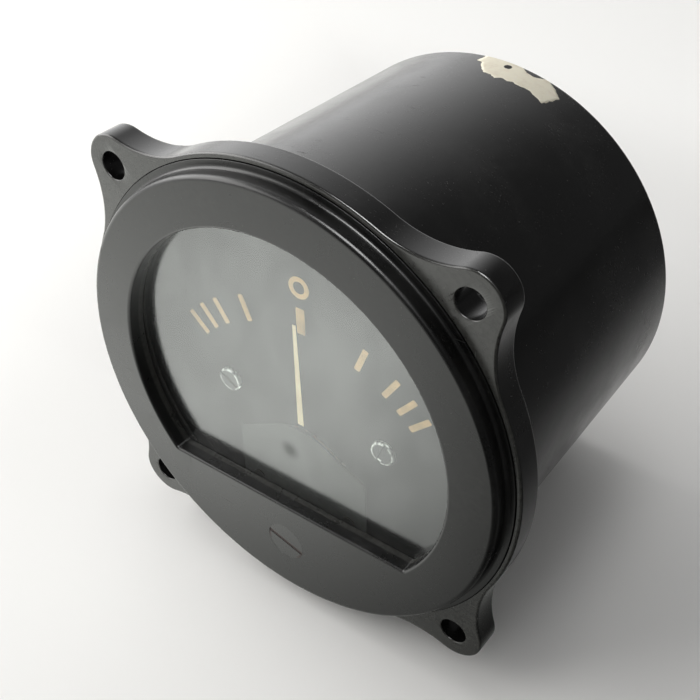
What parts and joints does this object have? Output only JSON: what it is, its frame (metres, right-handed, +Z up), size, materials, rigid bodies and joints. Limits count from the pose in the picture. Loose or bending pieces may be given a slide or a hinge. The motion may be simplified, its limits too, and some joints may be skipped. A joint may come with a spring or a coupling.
{
  "type": "pilot director indicator",
  "caption": "Round black panel indicator with a pointer at centre zero, a D-shaped window, a slotted zero adjuster and four screw ears.",
  "frame": {"origin": "centre of the four ear holes, on the front of the ears", "axes": "+X to the right seen from the front, +Y into the panel, +Z up"},
  "size_m": [0.0822, 0.0721, 0.0822],
  "materials": {
    "moulding": "satin, worn",
    "dark_paint": "matt",
    "cover_paint": "matt",
    "cream_paint": "matt, aged",
    "glass": "clear",
    "gasket": "matt",
    "brass": "turned",
    "steel": "ground",
    "magnet": "ground faces",
    "alloy": "cast and machined",
    "copper": "enamelled wire",
    "fibre": "matt",
    "insulation": "satin",
    "paper": "torn, aged",
    "bronze": "spring strip"
  },
  "bodies": {
    "housing": {"case_body": "moulding", "bezel": "moulding", "bezel_screws": "steel", "window_glass": "glass", "glass_gasket": "gasket", "dial_plate": "dark_paint", "dial_marks": "cream_paint", "dial_screws": "dark_paint", "dial_pillars": "brass", "pivot_cover": "cover_paint", "cover_posts": "brass", "cover_screws": "brass", "pointer_stops": "steel", "front_bridge": "brass", "bridge_screws": "brass", "front_jewel_screw": "brass", "front_lock_nut": "brass", "magnet": "magnet", "pole_pieces": "steel", "core": "steel", "core_supports": "brass", "movement_frame": "alloy", "frame_screws": "brass", "rear_jewel_screw": "brass", "rear_lock_nut": "brass", "rear_anchor": "brass", "mount_pillars": "brass", "mount_screws": "steel", "resistor_bobbin": "fibre", "resistor_winding": "copper", "resistor_screw": "brass", "terminal_studs": "brass", "terminal_washers": "brass", "terminal_nuts": "brass", "lead_wires": "insulation", "paper_label": "paper", "adjuster_washer": "bronze", "rear_hairspring": "bronze"},
    "adjuster": {"zero_adjuster": "moulding", "adjuster_clip": "steel"},
    "corrector": {"corrector_arm": "brass", "front_hairspring": "bronze"},
    "moving_coil": {"coil_former": "alloy", "coil_winding": "copper", "pivot_staffs": "steel", "balance_cross": "brass", "pointer": "dark_paint", "pointer_paint": "cream_paint"}
  },
  "joints": [
    {"name": "zero_adjuster_turn", "type": "hinge", "parent": "housing", "child": "adjuster", "pos_m": [0, -0.002, -0.0282], "axis": [0, 1, 0], "range_deg": [-45, 45]},
    {"name": "corrector_turn", "type": "hinge", "parent": "housing", "child": "corrector", "pos_m": [0, 0.0045, -0.0164], "axis": [0, 1, 0], "range_deg": [-3.4, 3.4]},
    {"name": "pointer_swing", "type": "hinge", "parent": "corrector", "child": "moving_coil", "pos_m": [0, 0.015, -0.0164], "axis": [0, 1, 0], "range_deg": [-48, 48], "stiffness_Nm_per_rad": 0.00002, "deforming": ["front_hairspring", "rear_hairspring"]}
  ],
  "couplings": [
    {"joint": "corrector_turn", "follows": "zero_adjuster_turn", "ratio": 0.0735}
  ]
}
